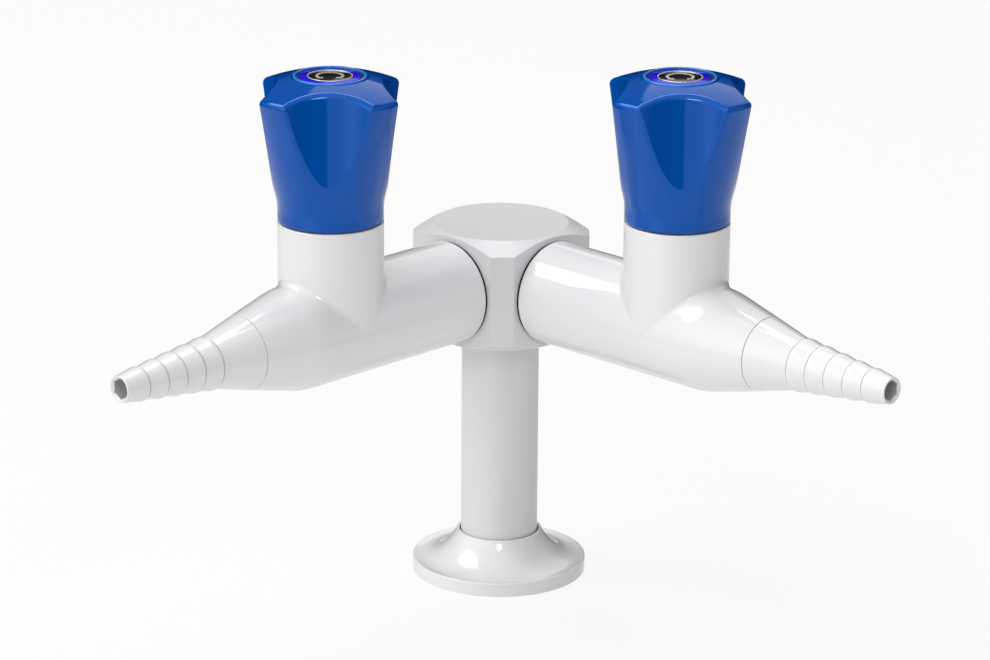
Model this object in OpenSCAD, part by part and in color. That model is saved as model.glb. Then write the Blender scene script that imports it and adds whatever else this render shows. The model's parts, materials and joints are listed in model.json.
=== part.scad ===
// Two-way laboratory needle valve on a bench column.
// Millimetres, +Z up. The origin is the centre of the flange's underside.
// The two valves stand at 45 degrees to either side of -Y.

/* [Column] */
// Height of the outlets' centre line above the bench
outlet_h = 106; // [90:1:180]
// Outer diameter of the column tube
column_d = 26.5; // [25:0.5:30]
// Wall of the column tube
column_wall = 3; // [2:0.25:4]
// Outer diameter of the inner riser pipe
riser_d = 12; // [10:0.5:13]
// Bore of the riser pipe and of the passages in foot and hub
riser_bore = 8; // [5:0.5:9]
// Depth to which the riser pipe enters the hub and the foot
riser_depth = 11; // [8:0.5:14]
// Distance of the riser's seals from its ends
riser_seal_inset = 3; // [2:0.5:4]

/* [Foot and flange] */
// Diameter of the bench flange
flange_d = 60; // [56:1:80]
// Height of the flange's upright rim
rim_h = 4.85; // [4.6:0.05:6]
// Radius of the rim's rounded edge
rim_lip = 0.5; // [0.3:0.1:1.5]
// Overall height of the flange up to the collar's edge
flange_h = 14.6; // [13:0.2:22]
// Slope of the flare at the collar
flare_top_slope = 65; // [50:1:75]
// Length over which the flare keeps that slope
flare_top_pull = 3.7; // [2:0.1:6]
// Rise of the flare towards the rim
flare_rim_slope = 14; // [0:1:16]
// Length over which the flare keeps that rise
flare_rim_pull = 8.2; // [5:0.1:10]
// Thickness of the collar's edge
collar_wall = 0.8; // [0.5:0.1:2]
// Open gap between the collar and the column
collar_gap = 0.5; // [0.3:0.1:1]
// Thickness of the foot's disc
foot_t = 3.6; // [3:0.2:4.2]
// Width of the foot's disc beyond the column
foot_lip = 6; // [4:0.5:7]
// Diameter of the supply thread in the foot
supply_d = 15; // [12:0.5:16]
// Depth of the supply thread
supply_depth = 12; // [10:0.5:16]
// Height left between the supply thread and the riser's socket
riser_wall = 4; // [3:0.5:8]
// Width of the flange gasket
gasket_w = 4; // [3:0.5:5]
// Thickness of the flange gasket
gasket_t = 1.2; // [0.8:0.2:2]
// Distance of the flange gasket from the flange's edge
gasket_inset = 3; // [2:0.5:3.5]

/* [Hub] */
// Width across the hub's large faces
hub_af = 48; // [46:1:56]
// Width across the hub's narrow corner faces
hub_corner = 60; // [58:0.5:64]
// Height of the hub
hub_h = 39; // [37:0.5:50]
// Diameter of the flat circle left by the hub's chamfers
hub_crown_d = 45.8; // [42:0.2:46]
// Slope of the hub's chamfers
hub_chamfer_angle = 28; // [20:1:35]

/* [Valve body] */
// Distance from the column's axis to the knob's axis
arm_reach = 80; // [76:1:120]
// Diameter of the arm
arm_d = 35; // [35:0.5:37]
// Rounding of the arm's edge at the hub
arm_edge = 1.2; // [0.4:0.1:1.6]
// Diameter of the boss under the knob
boss_d = 34.9; // [33:0.1:34.9]
// Height of the boss above the arm's centre line
boss_h = 36.5; // [35:0.5:44]
// Distance from the knob's axis to where the front cone would start without its rounding
cone_start = 18.9; // [17:0.1:21]
// Slope of the front cone, shared by body and nozzle
cone_angle = 14; // [12:0.2:15]
// Radius of the rounding between arm and cone
cone_blend = 30; // [15:5:50]
// Distance from the knob's axis to the joint between body and nozzle
seam_x = 39.5; // [37:0.5:44]
// Diameter of the threaded ports at both ends of the body
port_d = 16.6; // [15:0.2:17]
// Depth of the threaded ports in body and hub
port_depth = 14; // [12:0.5:14]
// Diameter of the inlet passage
passage_d = 7; // [5:0.5:8]
// Diameter of the inclined outlet passage
outlet_bore = 5; // [4:0.5:5.5]
// Thickness of the gasket between hub and arm
arm_gasket_t = 0.5; // [0.3:0.1:1]
// Distance of that gasket from the arm's rounded edge
arm_gasket_inset = 0.4; // [0.3:0.1:2]
// Gap left at the bottom of a port by the piece screwed into it
port_gap = 0.5; // [0.3:0.1:1]

/* [Seat and needle] */
// Diameter of the valve seat insert
seat_d = 12; // [10:0.5:14]
// Height of the valve seat insert
seat_h = 4; // [3:0.5:5]
// Bore of the valve seat
seat_bore = 4; // [3:0.2:5]
// Diameter of the passage under the valve seat
seat_inlet_d = 6; // [5:0.5:8]
// Wall left between the inlet passage and the seat
seat_wall = 0.5; // [0.5:0.25:2]
// Height of the chamber above the seat
chamber_h = 6.5; // [5.5:0.5:8]
// Diameter of the chamber
chamber_d = 18; // [15:0.5:19]
// Length of the needle's taper below the top of the seat
needle_reach = 3.5; // [2:0.25:3.5]
// Radius gained by the needle for each millimetre of its height
needle_taper = 0.3; // [0.2:0.02:0.34]
// Diameter of the needle's pin in its carrier
pin_d = 3; // [2.5:0.25:4]
// Depth to which the needle's pin passes into the carrier's hexagon
pin_depth = 0.3; // [0:0.1:0.8]
// Height of the carrier's shank above the seat, with the valve closed
shank_gap = 2.5; // [2:0.25:3]
// Diameter of the carrier's shank
shank_d = 8.6; // [7:0.2:9.6]
// Height of the carrier's shank
shank_h = 3; // [2:0.25:4]
// Width across the flats of the needle carrier
carrier_af = 11.9; // [10:0.1:13]
// Height of the needle carrier's hexagon
carrier_h = 10; // [9:0.5:12]
// Height left under the carrier's thread
nut_floor = 1.5; // [1:0.25:2]
// Gap left at the end of a stroke or of a screwed joint
end_gap = 0.5; // [0.3:0.1:0.8]
// Gap between the raised carrier and the spindle's collar
collar_margin = 1.5; // [1:0.25:2]
// Pitch of the spindle's thread
thread_pitch = 1.25; // [0.75:0.05:1.5]
// Turns of the knob from closed to fully open
open_turns = 2.125; // [1:0.125:3]

/* [Bonnet and spindle] */
// Diameter of the bonnet's thread
bonnet_d = 24; // [22:0.5:25]
// Diameter of the bonnet's round flange
bonnet_flange_d = 27.6; // [26.6:0.2:28]
// Thickness of the bonnet's round flange
bonnet_flange_t = 2; // [1.5:0.25:3]
// Width across the flats of the bonnet's hexagon
bonnet_hex_af = 22; // [19:0.5:22.5]
// Height of the bonnet's hexagon
bonnet_hex_h = 5; // [4:0.5:7]
// Thickness of the ring under the bonnet
bonnet_seal_t = 1; // [0.6:0.2:1.6]
// Width of the ring under the bonnet
bonnet_seal_w = 2.2; // [1.6:0.2:2.8]
// Distance of that ring from the bonnet's outer edge
bonnet_seal_inset = 0.2; // [0:0.1:0.4]
// Diameter of the spindle's neck
neck_d = 8; // [7:0.25:9]
// Diameter of the spindle's lower thread
spindle_thread_d = 6; // [5:0.25:6.5]
// Height of the spindle's thrust collar
collar_h = 2.5; // [2:0.25:3.5]
// Thickness of the thrust washer
washer_t = 0.8; // [0.5:0.1:1.2]
// Thickness of the spindle's snap ring
clip_t = 0.8; // [0.6:0.1:1]
// Width by which the snap ring stands out of the neck
clip_w = 1.6; // [1:0.1:2]
// Depth of the snap ring's groove
clip_groove = 0.6; // [0.4:0.1:0.9]
// Width of the snap ring's opening
clip_mouth = 5.4; // [4:0.2:6]
// Distance of the spindle's seals from the ends of their room in the bonnet
neck_seal_inset = 3.75; // [2:0.25:5]
// Width of the spindle's square
square_w = 5.6; // [4.6:0.1:6]
// Length of the spindle's square
square_len = 12; // [9:0.5:14]
// Thickness of the O-rings
ring_t = 1.5; // [1:0.1:1.8]
// Amount by which the O-rings are squeezed
ring_squeeze = 0.1; // [0:0.05:0.2]

/* [Knob] */
// Gap between the boss and the knob
knob_gap = 0.5; // [0.3:0.1:1]
// Diameter of the knob's skirt
skirt_d = 34.8; // [34:0.2:38]
// Height of the knob's straight skirt
skirt_h = 6; // [4:0.5:10]
// Height of the knob up to the shoulder of its lobes
knob_h = 43.2; // [40:0.2:56]
// Diameter over the knob's lobes at the shoulder
lobe_d = 53.6; // [50:0.2:60]
// Number of lobes
lobe_count = 4; // [3:1:6]
// Width across the knob at the middle of two opposite flutes
waist_d = 37.5; // [36.5:0.1:42]
// Radius of the flutes between the lobes
flute_r = 25; // [16:0.5:30]
// Height above the knob's underside at which the waist is measured
waist_h = 27; // [20:0.5:36]
// Lean of the flutes towards the axis
flute_lean = 1.7; // [0:0.1:2]
// Radius of the knob's domed top
dome_r = 64; // [50:1:90]
// Wall left between the knob's inner room and its skirt
skirt_wall = 2.6; // [2:0.1:2.8]
// Wall left over the knob's inner room, measured down from the shoulder
crown_wall = 4; // [3:0.5:6]
// Diameter of the knob's inner post
post_d = 19; // [16:0.5:20]
// Outer diameter of the knob's metal insert
insert_d = 13; // [11:0.5:14]
// Height of the knob's metal insert above the spindle's square
insert_cap = 2; // [1.5:0.25:3]
// Diameter of the knob screw's thread
screw_d = 4; // [3:0.5:4]
// Length of the knob screw's thread in the spindle
screw_len = 7.2; // [5:0.4:9]
// Diameter of the knob screw's head
screw_head_d = 7.2; // [6:0.2:7.6]
// Height of the knob screw's head
screw_head_h = 2.6; // [2:0.2:3.4]
// Width across the flats of the knob screw's socket
screw_key = 3; // [2:0.5:3.5]
// Depth of the knob screw's socket
screw_key_depth = 1.7; // [1:0.1:1.8]

/* [Cap] */
// Outer diameter of the light ring in the knob's top
ring_d = 24.6; // [22:0.2:26]
// Width of the light ring
ring_w = 1.3; // [0.8:0.05:2]
// Gap round the light ring in the knob
recess_gap = 0.25; // [0.1:0.05:0.4]
// Gap between the light ring and the cap
cap_gap = 0.35; // [0.1:0.05:0.6]
// Height by which the cap lies below the top of the light ring
cap_sink = 0.3; // [0.1:0.05:0.6]
// Length of the cap's stem under the recess
cap_stem = 4.8; // [3:0.2:8]
// Gap round the knob screw's head
head_gap = 0.5; // [0.3:0.1:1]
// Height by which the light ring stands out of the knob
ring_rise = 0.5; // [0.2:0.1:1]
// Depth of the cap's recess
recess_depth = 2.4; // [1.6:0.2:4]
// Outer diameter of the bezel round the index plate
bezel_d = 14.9; // [12:0.1:17]
// Width of the bezel
bezel_w = 0.5; // [0.3:0.05:1]
// Height by which the bezel stands out of the cap
bezel_rise = 0.15; // [0.05:0.05:0.3]
// Thickness of the index plate
plate_t = 0.8; // [0.5:0.1:1]

/* [Hose nozzle] */
// Distance from the knob's axis to the first rib
rib_start = 55.2; // [52:0.2:62]
// Number of ribs
rib_count = 5; // [3:1:7]
// Distance from rib to rib
rib_pitch = 7.1; // [5:0.1:9]
// Length of the last rib at the mouth
tip_len = 8.2; // [6:0.1:12]
// Diameter of the mouth's end face
tip_d = 8.7; // [8.4:0.1:10]
// Height of the step behind each rib
rib_step = 0.32; // [0.2:0.02:0.6]
// Length of the crest of each rib
rib_crest = 1.6; // [0.8:0.1:2.5]
// Gap left in front of the nozzle's threaded plug
plug_gap = 1.5; // [0.5:0.25:3]
// Room left beside the nozzle's O-ring
ring_room = 0.6; // [0.2:0.1:1]
// Bore of the nozzle
nozzle_bore = 5.4; // [4:0.2:5.8]
// Width across the flats of the hexagon in the mouth
mouth_af = 6; // [5:0.1:6.2]
// Depth of the hexagon in the mouth
mouth_depth = 6; // [4:0.5:10]

/* [Hidden] */
$fn = 96;

// Directions of the two arms, seen from above
left = -135;
right = -45;

// Clearance round a piece that stays put
snug = 0.02;
// Clearance round a piece that turns or slides
run = 0.05;
// Overshoot of a cut past a face
past = 1;
// Segments of a drawn arc
arc_steps = 8;

// Colours
white_coat = "#f3f4f5";
hub_coat = "#dfe0e0";
knob_blue = "#0f56ad";
ring_blue = "#2f86e0";
cap_violet = "#2a1fd6";
plate_black = "#151517";
brass = "#c8a555";
steel = "#b9bdc3";
seal_black = "#2b2b2d";
seal_green = "#3d6b45";

// Column levels
hub_base = outlet_h - hub_h / 2;
column_in_r = column_d / 2 - column_wall;
foot_r = column_d / 2 + foot_lip;
riser_base = supply_depth + riser_wall;
spigot_top = riser_base + riser_depth;
riser_top = hub_base + riser_depth;

// Flange radii
collar_in_r = column_d / 2 + collar_gap;
collar_r = collar_in_r + collar_wall;
gasket_r = flange_d / 2 - gasket_inset;

// Arm positions from the column's axis
hub_face = hub_af / 2;
arm_face = hub_face + arm_gasket_t;
port_r = port_d / 2;

// Levels in a valve above the arm's centre line
seat_base = passage_d / 2 + seat_wall;
seat_top = seat_base + seat_h;
ledge = seat_top + chamber_h;
bonnet_base = ledge + bonnet_seal_t;
bonnet_top = boss_h + bonnet_flange_t + bonnet_hex_h;
lift = thread_pitch * open_turns;
shank_base = seat_top + shank_gap;
carrier_base = shank_base + shank_h;
carrier_top = carrier_base + carrier_h;
nut_base = carrier_base + nut_floor;
spindle_base = nut_base + lift + end_gap;
collar_base = carrier_top + lift + collar_margin;
collar_top = collar_base + collar_h;
washer_base = collar_top + run;
washer_top = washer_base + washer_t;
clip_base = bonnet_top + run;
post_base = bonnet_top + 2 * run + clip_t + end_gap;
square_top = post_base + square_len;
insert_top = square_top + insert_cap;
thrust_r = carrier_af / 2 - run;

// Radii and levels of the seals
ring_bar = ring_t - ring_squeeze;
riser_groove_r = riser_d / 2 - ring_bar;
neck_groove_r = neck_d / 2 - ring_bar;
clip_groove_r = neck_d / 2 - clip_groove;
riser_seals_z = [riser_base + riser_seal_inset, riser_top - riser_seal_inset];
neck_seals_z = [washer_top + neck_seal_inset, bonnet_top - neck_seal_inset];

// Nozzle positions from the knob's axis
nozzle_tip = rib_start + (rib_count - 1) * rib_pitch + tip_len;
socket_floor = seam_x - port_depth;
ring_seat = ring_t + ring_room;
plug_neck_r = port_r - ring_t;

// Knob levels above the arm's centre line
knob_base = boss_h + knob_gap;
shoulder = knob_base + knob_h;
flute_mid = knob_base + waist_h;
room_r = skirt_d / 2 - skirt_wall;
recess_r = ring_d / 2 + recess_gap;
recess_top = dome_z(recess_r);
recess_floor = recess_top - recess_depth;
ring_top = recess_top + ring_rise;
cap_r = ring_d / 2 - ring_w - cap_gap;
cap_top = ring_top - cap_sink;
access_r = screw_head_d / 2 + head_gap;

// Height of the knob's domed top at a distance from its axis
function dome_z(r) = shoulder + sqrt(pow(dome_r, 2) - pow(r, 2)) - sqrt(pow(dome_r, 2) - pow(lobe_d / 2, 2));

// Radius of the front cone at a distance from the knob's axis
function cone_r(x) = arm_d / 2 - (x - cone_start) * tan(cone_angle);

// Place and radius of the nozzle at the foot of a rib, counted from the body
function rib_x(k) = rib_start + k * rib_pitch;
function rib_r(k) = cone_r(rib_start)
    - (cone_r(rib_start) - tip_d / 2) * (rib_x(k) - rib_start) / (nozzle_tip - rib_start);

// Point on a smooth curve from a to d, which leaves towards b and arrives from c
function curve_point(a, b, c, d, t) = pow(1 - t, 3) * a
    + 3 * pow(1 - t, 2) * t * b
    + 3 * (1 - t) * pow(t, 2) * c
    + pow(t, 3) * d;

// Radius of the needle at a level above the arm's centre line
function needle_r(z) = seat_bore / 2 - snug + needle_taper * (z - seat_top);

// Puts a piece on an arm: x is measured from the column's axis
module on_arm(angle) {
    translate([0, 0, outlet_h])
        rotate([0, 0, angle])
            children();
}

// Puts a piece in a valve: x is measured from the knob's axis
module in_valve(angle) {
    on_arm(angle)
        translate([arm_reach, 0, 0])
            children();
}

// Puts a piece in a knob: x keeps the direction of the column's x
module in_knob(angle) {
    in_valve(angle)
        rotate([0, 0, -angle])
            children();
}

// Round bar along x
module bar(from, to, r) {
    translate([from, 0, 0])
        rotate([0, 90, 0])
            cylinder(h = to - from, r = r);
}

// Round bar along z
module post(from, to, r) {
    translate([0, 0, from])
        cylinder(h = to - from, r = r);
}

// Tube along z
module tube(from, to, outer_r, inner_r) {
    difference() {
        post(from, to, outer_r);
        post(from - past, to + past, inner_r);
    }
}

// Turned outline about x, with points [distance along x, radius]
module turned_bar(points) {
    rotate([90, 0, 90])
        rotate_extrude()
            polygon([for (p = points) [p[1], p[0]]]);
}

// O-ring about z
module o_ring(z, centre_r, thickness) {
    translate([0, 0, z])
        rotate_extrude()
            translate([centre_r, 0])
                circle(d = thickness);
}

// Groove for an O-ring, cut round a shaft of that radius
module ring_groove(z, shaft_r, groove_r) {
    tube(z - ring_t / 2 - ring_squeeze, z + ring_t / 2 + ring_squeeze, shaft_r + past, groove_r);
}

// Hexagonal bar along z
module hex_post(from, to, af) {
    translate([0, 0, from])
        cylinder(h = to - from, d = af / cos(30), $fn = 6);
}

// Square bar along z
module square_post(from, to, width) {
    translate([-width / 2, -width / 2, from])
        cube([width, width, to - from]);
}

module hub() {
    crown_r = hub_crown_d / 2;
    reach_r = hub_af;
    chamfer_drop = (reach_r - crown_r) * tan(hub_chamfer_angle);
    color(hub_coat)
        difference() {
            intersection() {
                translate([0, 0, outlet_h])
                    rotate([0, 0, 45])
                        cube([hub_af, hub_af, hub_h], center = true);
                translate([0, 0, outlet_h])
                    cube([hub_corner, hub_corner, hub_h], center = true);
                translate([0, 0, outlet_h])
                    rotate_extrude()
                        polygon([
                            [0, -hub_h / 2],
                            [crown_r, -hub_h / 2],
                            [reach_r, chamfer_drop - hub_h / 2],
                            [reach_r, hub_h / 2 - chamfer_drop],
                            [crown_r, hub_h / 2],
                            [0, hub_h / 2]
                        ]);
            }
            post(hub_base - past, riser_top, riser_d / 2 + snug);
            post(riser_top - past, outlet_h + passage_d / 2, riser_bore / 2);
            for (angle = [left, right])
                on_arm(angle) {
                    bar(0, hub_face, passage_d / 2);
                    bar(hub_face - port_depth, hub_face + past, port_r);
                }
        }
}

module column_tube() {
    color(hub_coat)
        tube(foot_t, hub_base, column_d / 2, column_in_r);
}

module riser_pipe() {
    color(brass)
        difference() {
            tube(riser_base, riser_top, riser_d / 2, riser_bore / 2);
            for (z = riser_seals_z)
                ring_groove(z, riser_d / 2, riser_groove_r);
        }
}

module riser_seals() {
    color(seal_black)
        for (z = riser_seals_z)
            o_ring(z, riser_groove_r + ring_bar / 2, ring_bar);
}

module column_foot() {
    color(brass)
        difference() {
            union() {
                post(0, foot_t, foot_r);
                post(0, spigot_top, column_in_r - snug);
            }
            post(-past, supply_depth, supply_d / 2);
            post(supply_depth - past, riser_base + past, riser_bore / 2);
            post(riser_base, spigot_top + past, riser_d / 2 + snug);
        }
}

module flange_cover() {
    lip_x = flange_d / 2 - rim_lip;
    lip_z = rim_h - rim_lip;
    lip = [for (i = [0:arc_steps])
        let (a = (90 + flare_rim_slope) * i / arc_steps)
            [lip_x + rim_lip * cos(a), lip_z + rim_lip * sin(a)]];
    top = [collar_r, flange_h];
    top_pull = top + flare_top_pull * [cos(flare_top_slope), -sin(flare_top_slope)];
    rim_pull = lip[arc_steps] - flare_rim_pull * [cos(flare_rim_slope), sin(flare_rim_slope)];
    flare = [for (i = [1:2 * arc_steps])
        curve_point(lip[arc_steps], rim_pull, top_pull, top, i / (2 * arc_steps))];
    color(white_coat)
        difference() {
            rotate_extrude()
                polygon(concat(
                    [[collar_in_r, 0], [flange_d / 2, 0]],
                    lip,
                    flare,
                    [[collar_in_r, flange_h]]));
            post(-past, foot_t + snug, foot_r + collar_gap);
            tube(-past, gasket_t, gasket_r + snug, gasket_r - gasket_w - snug);
        }
}

module flange_gasket() {
    color(seal_black)
        tube(0, gasket_t, gasket_r, gasket_r - gasket_w);
}

module valve_body(angle) {
    arm_r = arm_d / 2;
    face = arm_face - arm_reach;
    blend_x = cone_start - cone_blend * tan(cone_angle / 2);
    blend = [for (i = [0:arc_steps])
        let (a = cone_angle * i / arc_steps)
            [blend_x + cone_blend * sin(a), arm_r - cone_blend * (1 - cos(a))]];
    outlet_from = [chamber_d / 4, (seat_top + ledge) / 2];
    outlet_to = [socket_floor + 2 * past, 0];
    outlet_turn = atan2(outlet_to[0] - outlet_from[0], outlet_to[1] - outlet_from[1]);
    color(white_coat)
        in_valve(angle)
            difference() {
                union() {
                    turned_bar(concat(
                        [[face, 0], [face, arm_r - arm_edge], [face + arm_edge, arm_r]],
                        blend,
                        [[seam_x, cone_r(seam_x)], [seam_x, 0]]));
                    post(0, boss_h, boss_d / 2);
                }
                bar(face - past, face + port_depth, port_r);
                bar(face, passage_d / 2, passage_d / 2);
                post(0, seat_base + past, seat_inlet_d / 2);
                post(seat_base, seat_top + past, seat_d / 2);
                post(seat_top, ledge + past, chamber_d / 2);
                post(ledge, boss_h + past, bonnet_d / 2 + snug);
                translate([outlet_from[0], 0, outlet_from[1]])
                    rotate([0, outlet_turn, 0])
                        cylinder(h = norm(outlet_to - outlet_from), d = outlet_bore);
                bar(socket_floor, seam_x + past, port_r);
            }
}

module arm_nipple(angle) {
    color(brass)
        on_arm(angle)
            difference() {
                bar(hub_face - port_depth + port_gap, arm_face + port_depth - port_gap, port_r - snug);
                bar(0, arm_reach, passage_d / 2);
            }
}

module arm_gasket(angle) {
    color(seal_black)
        on_arm(angle)
            difference() {
                bar(hub_face, arm_face, arm_d / 2 - arm_edge - arm_gasket_inset);
                bar(0, arm_reach, port_r);
            }
}

module seat_insert(angle) {
    color(brass)
        in_valve(angle)
            tube(seat_base, seat_top, seat_d / 2 - snug, seat_bore / 2);
}

module needle_carrier(angle) {
    color(brass)
        in_valve(angle)
            difference() {
                union() {
                    post(shank_base, carrier_base, shank_d / 2);
                    hex_post(carrier_base, carrier_top, carrier_af - 2 * run);
                }
                post(shank_base - past, carrier_base + pin_depth + snug, pin_d / 2);
                post(nut_base, carrier_top + past, spindle_thread_d / 2 + run);
            }
}

module needle(angle) {
    point = seat_top - needle_reach;
    color(steel)
        in_valve(angle) {
            translate([0, 0, point])
                cylinder(h = shank_base - point, r1 = needle_r(point), r2 = needle_r(shank_base));
            post(shank_base, carrier_base + pin_depth, pin_d / 2 - snug);
        }
}

module bonnet(angle) {
    color(brass)
        in_valve(angle)
            difference() {
                union() {
                    post(bonnet_base, boss_h, bonnet_d / 2);
                    post(boss_h, boss_h + bonnet_flange_t, bonnet_flange_d / 2);
                    hex_post(boss_h + bonnet_flange_t, bonnet_top, bonnet_hex_af);
                }
                hex_post(bonnet_base - past, collar_base, carrier_af);
                post(collar_base - end_gap, washer_top, carrier_af / 2 + run);
                post(washer_top - past, bonnet_top + past, neck_d / 2 + run);
            }
}

module bonnet_seal(angle) {
    seal_r = bonnet_d / 2 - bonnet_seal_inset;
    color(seal_green)
        in_valve(angle)
            tube(ledge, bonnet_base, seal_r, seal_r - bonnet_seal_w);
}

module spindle(angle) {
    color(steel)
        in_valve(angle)
            difference() {
                union() {
                    post(spindle_base, collar_base, spindle_thread_d / 2);
                    post(collar_base, collar_top, thrust_r);
                    post(collar_top, post_base - end_gap / 2, neck_d / 2);
                    square_post(collar_top, square_top, square_w);
                }
                for (z = neck_seals_z)
                    ring_groove(z, neck_d / 2, neck_groove_r);
                tube(clip_base - run, clip_base + clip_t + run, neck_d / 2 + past, clip_groove_r);
                post(square_top - screw_len - end_gap, square_top + past, screw_d / 2);
            }
}

module spindle_seals(angle) {
    color(seal_black)
        in_valve(angle)
            for (z = neck_seals_z)
                o_ring(z, neck_groove_r + ring_bar / 2 + (run - snug) / 2, ring_bar);
}

module thrust_washer(angle) {
    color(plate_black)
        in_valve(angle)
            tube(washer_base, washer_top, carrier_af / 2, neck_d / 2 + run);
}

module spindle_clip(angle) {
    clip_r = neck_d / 2 + clip_w;
    color(steel)
        in_valve(angle)
            difference() {
                tube(clip_base, clip_base + clip_t, clip_r, clip_groove_r + snug);
                translate([0, -clip_mouth / 2, clip_base - past])
                    cube([clip_r + past, clip_mouth, clip_t + 2 * past]);
            }
}

module knob(angle) {
    lobe_r = lobe_d / 2;
    skirt_r = skirt_d / 2;
    dome = [for (i = [0:arc_steps])
        let (r = lobe_r * (1 - i / arc_steps))
            [r, dome_z(r)]];
    color(knob_blue)
        in_knob(angle)
            difference() {
                rotate_extrude()
                    polygon(concat(
                        [[0, knob_base], [skirt_r, knob_base], [skirt_r, knob_base + skirt_h]],
                        dome));
                for (k = [0:lobe_count - 1])
                    rotate([0, 0, 360 * k / lobe_count])
                        translate([waist_d / 2 + flute_r, 0, flute_mid])
                            rotate([0, -flute_lean, 0])
                                cylinder(h = 2 * knob_h, r = flute_r, center = true);
                post(knob_base - past, post_base, room_r);
                difference() {
                    post(post_base - past, shoulder - crown_wall, room_r);
                    post(post_base, shoulder, post_d / 2);
                }
                post(post_base - past, insert_top, insert_d / 2);
                post(insert_top - past, recess_floor + past, access_r);
                post(recess_floor, shoulder + dome_r, recess_r);
            }
}

module knob_insert(angle) {
    color(brass)
        in_valve(angle)
            difference() {
                post(post_base, insert_top, insert_d / 2 - snug);
                square_post(post_base - past, square_top, square_w + 2 * run);
                post(square_top - past, insert_top + past, screw_d / 2 + run);
            }
}

module knob_screw(angle) {
    head_top = insert_top + screw_head_h;
    color(steel)
        in_valve(angle)
            difference() {
                union() {
                    post(square_top - screw_len, insert_top, screw_d / 2 - snug);
                    post(insert_top, head_top, screw_head_d / 2);
                }
                hex_post(head_top - screw_key_depth, head_top + past, screw_key);
            }
}

module cap_ring(angle) {
    color(ring_blue)
        in_knob(angle)
            tube(recess_floor, ring_top, ring_d / 2, ring_d / 2 - ring_w);
}

module cap(angle) {
    color(cap_violet)
        in_knob(angle)
            difference() {
                union() {
                    post(recess_floor, cap_top, cap_r);
                    post(recess_floor - cap_stem, recess_floor, access_r - run);
                }
                post(cap_top - plate_t, cap_top + past, bezel_d / 2 + snug);
            }
}

module bezel(angle) {
    color(steel)
        in_knob(angle)
            tube(cap_top - plate_t, cap_top + bezel_rise, bezel_d / 2, bezel_d / 2 - bezel_w);
}

module index_plate(angle) {
    color(plate_black)
        in_knob(angle)
            post(cap_top - plate_t, cap_top, bezel_d / 2 - bezel_w - snug);
}

module nozzle(angle) {
    seam_r = cone_r(seam_x);
    ribs = [for (k = [0:rib_count - 1])
        each [
            [rib_x(k), rib_r(k)],
            [rib_x(k) + rib_step / 2, rib_r(k) + rib_step],
            [rib_x(k) + rib_crest, rib_r(k) + rib_step]
        ]];
    color(white_coat)
        in_valve(angle)
            difference() {
                turned_bar(concat(
                    [[socket_floor + plug_gap, 0], [socket_floor + plug_gap, port_r - snug],
                        [seam_x - ring_seat, port_r - snug], [seam_x - ring_seat, plug_neck_r],
                        [seam_x, plug_neck_r], [seam_x, seam_r]],
                    ribs,
                    [[nozzle_tip, tip_d / 2], [nozzle_tip, 0]]));
                bar(socket_floor, nozzle_tip, nozzle_bore / 2);
                translate([nozzle_tip - mouth_depth, 0, 0])
                    rotate([0, 90, 0])
                        cylinder(h = mouth_depth + past, d = mouth_af / cos(30), $fn = 6);
            }
}

module nozzle_seal(angle) {
    color(seal_black)
        in_valve(angle)
            translate([seam_x - ring_seat / 2, 0, 0])
                rotate([0, 90, 0])
                    o_ring(0, (port_r + plug_neck_r) / 2, ring_bar);
}

hub();
column_tube();
riser_pipe();
riser_seals();
column_foot();
flange_cover();
flange_gasket();
valve_body(left);  // valve_body_left
arm_nipple(left);  // arm_nipple_left
arm_gasket(left);  // arm_gasket_left
seat_insert(left);  // seat_insert_left
needle_carrier(left);  // needle_carrier_left
needle(left);  // needle_left
bonnet(left);  // bonnet_left
bonnet_seal(left);  // bonnet_seal_left
spindle(left);  // spindle_left
spindle_seals(left);  // spindle_seals_left
thrust_washer(left);  // thrust_washer_left
spindle_clip(left);  // spindle_clip_left
knob(left);  // knob_left
knob_insert(left);  // knob_insert_left
knob_screw(left);  // knob_screw_left
cap_ring(left);  // cap_ring_left
cap(left);  // cap_left
bezel(left);  // bezel_left
index_plate(left);  // index_plate_left
nozzle(left);  // nozzle_left
nozzle_seal(left);  // nozzle_seal_left
valve_body(right);  // valve_body_right
arm_nipple(right);  // arm_nipple_right
arm_gasket(right);  // arm_gasket_right
seat_insert(right);  // seat_insert_right
needle_carrier(right);  // needle_carrier_right
needle(right);  // needle_right
bonnet(right);  // bonnet_right
bonnet_seal(right);  // bonnet_seal_right
spindle(right);  // spindle_right
spindle_seals(right);  // spindle_seals_right
thrust_washer(right);  // thrust_washer_right
spindle_clip(right);  // spindle_clip_right
knob(right);  // knob_right
knob_insert(right);  // knob_insert_right
knob_screw(right);  // knob_screw_right
cap_ring(right);  // cap_ring_right
cap(right);  // cap_right
bezel(right);  // bezel_right
index_plate(right);  // index_plate_right
nozzle(right);  // nozzle_right
nozzle_seal(right);  // nozzle_seal_right
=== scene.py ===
"""Looks of a two-way laboratory needle valve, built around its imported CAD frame.

Shapes are worked out in millimetres and written in metres. In a valve, x runs outward along
the arm from the knob's axis and z is counted from the arm's centre line. The camera, the lamps
and the floor are in metres.
"""
import json
import math

import bmesh
import bpy
import numpy as np
from mathutils import Matrix, Vector


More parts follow.
